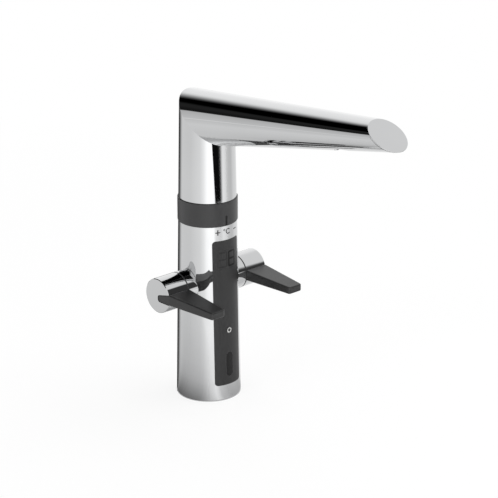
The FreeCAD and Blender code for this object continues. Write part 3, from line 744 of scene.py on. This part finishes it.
def flat_ring(outer, inner, length, middle, turn, edge):
    """A ring with flat sides and softly rounded edges."""
    ring = rod(outer, length, middle, turn, ring_sides)
    bpy.ops.object.transform_apply()
    edit(ring)
    select_faces(ring, lambda face: len(face.vertices) == ring_sides)
    bpy.ops.mesh.inset(thickness=outer - inner)
    bpy.ops.mesh.bridge_edge_loops()
    leave_edit()
    modify(ring, "BEVEL", width=edge, segments=3, limit_method="ANGLE")
    return ring


# %% Hub slide rings
hub_low, hub_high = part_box("right_hub")
hub_radius = (hub_high.z - hub_low.z) / 2
hub_axis = Vector((0, hub_high.y - hub_radius, hub_low.z + hub_radius))
slide_width = 1.3 * MM
slide_depth = 1.2 * MM
slide_proud = 0.06 * MM
slide_reach = 0.25 * MM
slide_edge = 0.05 * MM
slide_plastic = finish("slide_plastic", (0.035, 0.035, 0.036), roughness=0.5, specular=0.3)
for side, body in ((-1, "left_handle"), (1, "right_handle")):
    place = hub_axis + Vector((side * (hub_low.x + slide_width / 2 - slide_reach), 0, 0))
    slide = flat_ring(hub_radius + slide_proud, hub_radius - slide_depth, slide_width, place,
                      FACING_SIDE, slide_edge)
    dress(slide, body.replace("handle", "slide_ring"), body, "plastic_black", slide_plastic)

# %% Button rings
button_low, button_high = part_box("button_light_ring")
button_middle = (button_low + button_high) / 2
button_radius = (button_high.z - button_low.z) / 2
button_depth = button_high.y - button_low.y
core_radius = 1.5 * MM
light_radius = 2.5 * MM
bezel_edge = 0.15 * MM
light_edge = 0.3 * MM
bezel = flat_ring(button_radius, light_radius, button_depth, button_middle, FACING_FRONT, bezel_edge)
dress(bezel, "button_bezel", "button", "plastic_black", finishes["plastic_black"])
light = flat_ring(light_radius - fit_gap / 2, core_radius, button_depth, button_middle,
                  FACING_FRONT, light_edge)
dress(light, "button_glow_ring", "button", "plastic_white", finishes["plastic_white"],
      "button_light_ring")

# %% [markdown]
# ## Prints
# The plus, the degree sign and the minus are printed on the chrome below the ring, and a dark
# line fills the ring's index groove. Text could be a font curve, but these are a few plain
# strokes, so each stroke is a flat bar or a flat ring that faces the front. Shrinkwrap then lays
# them on the round surface, and a thin Solidify gives the ink its body.

# %% Print helpers
ink_thickness = 0.05 * MM
print_reach = -60 * MM
bar_cuts = 8
hoop_sides = 64


def bar(x, z, wide, tall):
    """A flat bar that faces the front, fine enough to bend round the column."""
    bpy.ops.object.select_all(action="DESELECT")
    bpy.ops.mesh.primitive_grid_add(x_subdivisions=bar_cuts, y_subdivisions=bar_cuts, size=1,
                                    location=(x, print_reach, z), rotation=FACING_FRONT)
    stroke = bpy.context.object
    stroke.scale = (wide, tall, 1)
    bpy.ops.object.transform_apply()
    return stroke


def hoop(x, z, radius, stroke_width, mouth=0.0):
    """A flat ring that faces the front, open to the right by an angle each way."""
    bpy.ops.object.select_all(action="DESELECT")
    bpy.ops.mesh.primitive_circle_add(vertices=hoop_sides, radius=radius, fill_type="NGON",
                                      location=(x, print_reach, z), rotation=FACING_FRONT)
    stroke = bpy.context.object
    bpy.ops.object.transform_apply()
    edit(stroke)
    bpy.ops.mesh.inset(thickness=stroke_width)
    bpy.ops.mesh.delete(type="FACE")
    select_faces(stroke, lambda face: abs(math.atan2(face.center.z - z, face.center.x - x)) < mouth)
    bpy.ops.mesh.delete(type="FACE")
    leave_edit()
    return stroke


def print_on(strokes, name, node, body, slot, material, turn=0.0, thickness=ink_thickness):
    """Join flat strokes, turn them round the column and lay them on a solid."""
    ink = strokes[0]
    select_only(*strokes)
    if len(strokes) > 1:
        bpy.ops.object.join()
    ink.rotation_euler.z = math.radians(turn)
    modify(ink, "SHRINKWRAP", target=nodes[node], wrap_method="PROJECT", use_project_y=True,
           use_positive_direction=True, use_negative_direction=False)
    modify(ink, "SOLIDIFY", thickness=thickness, offset=1)
    dress(ink, name, body, slot, material)


# %% Marks on the column
mark_height = 158.7 * MM
mark_turn = 22.0
mark_stroke = 0.9 * MM
mark_wide = 4.6 * MM
plus_tall = 5.0 * MM
plus_upright_stroke = 1.2 * mark_stroke
degree_place = -3.6 * MM
degree_lift = 1.6 * MM
degree_radius = 1.0 * MM
degree_stroke = 0.5 * MM
letter_place = 0.6 * MM
letter_radius = 2.6 * MM
letter_mouth = math.radians(38)
ink = finish("dark_ink", (0.05, 0.05, 0.052), roughness=0.5)
plus = [bar(0, mark_height, mark_wide, mark_stroke), bar(0, mark_height, plus_upright_stroke, plus_tall)]
print_on(plus, "mark_plus", "body_shell", "column", "plastic_black", ink, -mark_turn)
degrees = [hoop(degree_place, mark_height + degree_lift, degree_radius, degree_stroke),
           hoop(letter_place, mark_height, letter_radius, mark_stroke, letter_mouth)]
print_on(degrees, "mark_degrees", "body_shell", "column", "plastic_black", ink)
print_on([bar(0, mark_height, mark_wide, mark_stroke)], "mark_minus", "body_shell", "column",
         "plastic_black", ink, mark_turn)

# %% Dark strip in the ring's index groove
ring_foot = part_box("temperature_ring")[0].z
index_tall = 8.8 * MM
index_wide = 2.1 * MM
index_lift = 0.3 * MM
index_turn = -4.0
index_thickness = 3 * ink_thickness
# A near-black strip, darker than the ring, lies in the index groove.
index_groove_dark = finish("index_groove_dark", (0.006, 0.006, 0.006), roughness=0.5)
print_on([bar(0, ring_foot + index_tall / 2 + index_lift, index_wide, index_tall)], "index_line",
         "temperature_ring", "ring", "plastic_black", index_groove_dark, index_turn, index_thickness)

# %% [markdown]
# ## Display digits
# The display is off, and two digits of seven segments each just show in the dark window. A segment
# is a flat bar with pointed ends: a plane whose corners are bevelled away. One function places
# the segments of a digit, and a few straight cuts let them bend with the window.

# %% Display digits
digit_wide = 8.8 * MM
digit_tall = 14.6 * MM
digit_places = (-5.3 * MM, 4.5 * MM)
digit_middle = (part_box("display_lens")[0].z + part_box("display_lens")[1].z) / 2
segment_stroke = 1.5 * MM
segment_gap = 0.25 * MM
segment_point_share = 0.45
bend_step = 0.8 * MM
bend_steps = 5
segments = {
    "top": (0, 1, False), "middle": (0, 0, False), "bottom": (0, -1, False),
    "upper_left": (-1, 0.5, True), "upper_right": (1, 0.5, True),
    "lower_left": (-1, -0.5, True), "lower_right": (1, -0.5, True),
}
three = ("top", "middle", "bottom", "upper_right", "lower_right")
eight = tuple(segments)


def segment(x, z, upright):
    """One pointed bar of a digit."""
    long = digit_tall / 2 if upright else digit_wide
    size = (segment_stroke, long - segment_gap) if upright else (long - segment_gap, segment_stroke)
    bpy.ops.object.select_all(action="DESELECT")
    bpy.ops.mesh.primitive_plane_add(size=1, location=(x, print_reach, z), rotation=FACING_FRONT)
    made = bpy.context.object
    made.scale = (*size, 1)
    bpy.ops.object.transform_apply()
    edit(made, "VERT")
    bpy.ops.mesh.bevel(offset=segment_stroke * segment_point_share, affect="VERTICES")
    for cut in range(-bend_steps, bend_steps + 1):
        bpy.ops.mesh.select_all(action="SELECT")
        bpy.ops.mesh.bisect(plane_co=(x + cut * bend_step, 0, 0), plane_no=(1, 0, 0))
    leave_edit()
    return made


def digit(x, names):
    """The segments of one digit, centred at a place across the window."""
    half_wide = (digit_wide - segment_stroke) / 2
    half_tall = (digit_tall - segment_stroke) / 2
    return [segment(x + segments[name][0] * half_wide, digit_middle + segments[name][1] * half_tall,
                    segments[name][2]) for name in names]


tens_ink = finish("faint_segments", (0.008, 0.008, 0.0082), roughness=0.4, specular=0.4)
units_ink = finish("dark_segments", (0.003, 0.003, 0.0031), roughness=0.4, specular=0.2)
print_on(digit(digit_places[0], three), "display_tens", "display_lens", "column", "smoked", tens_ink)
print_on(digit(digit_places[1], eight), "display_units", "display_lens", "column", "smoked", units_ink)
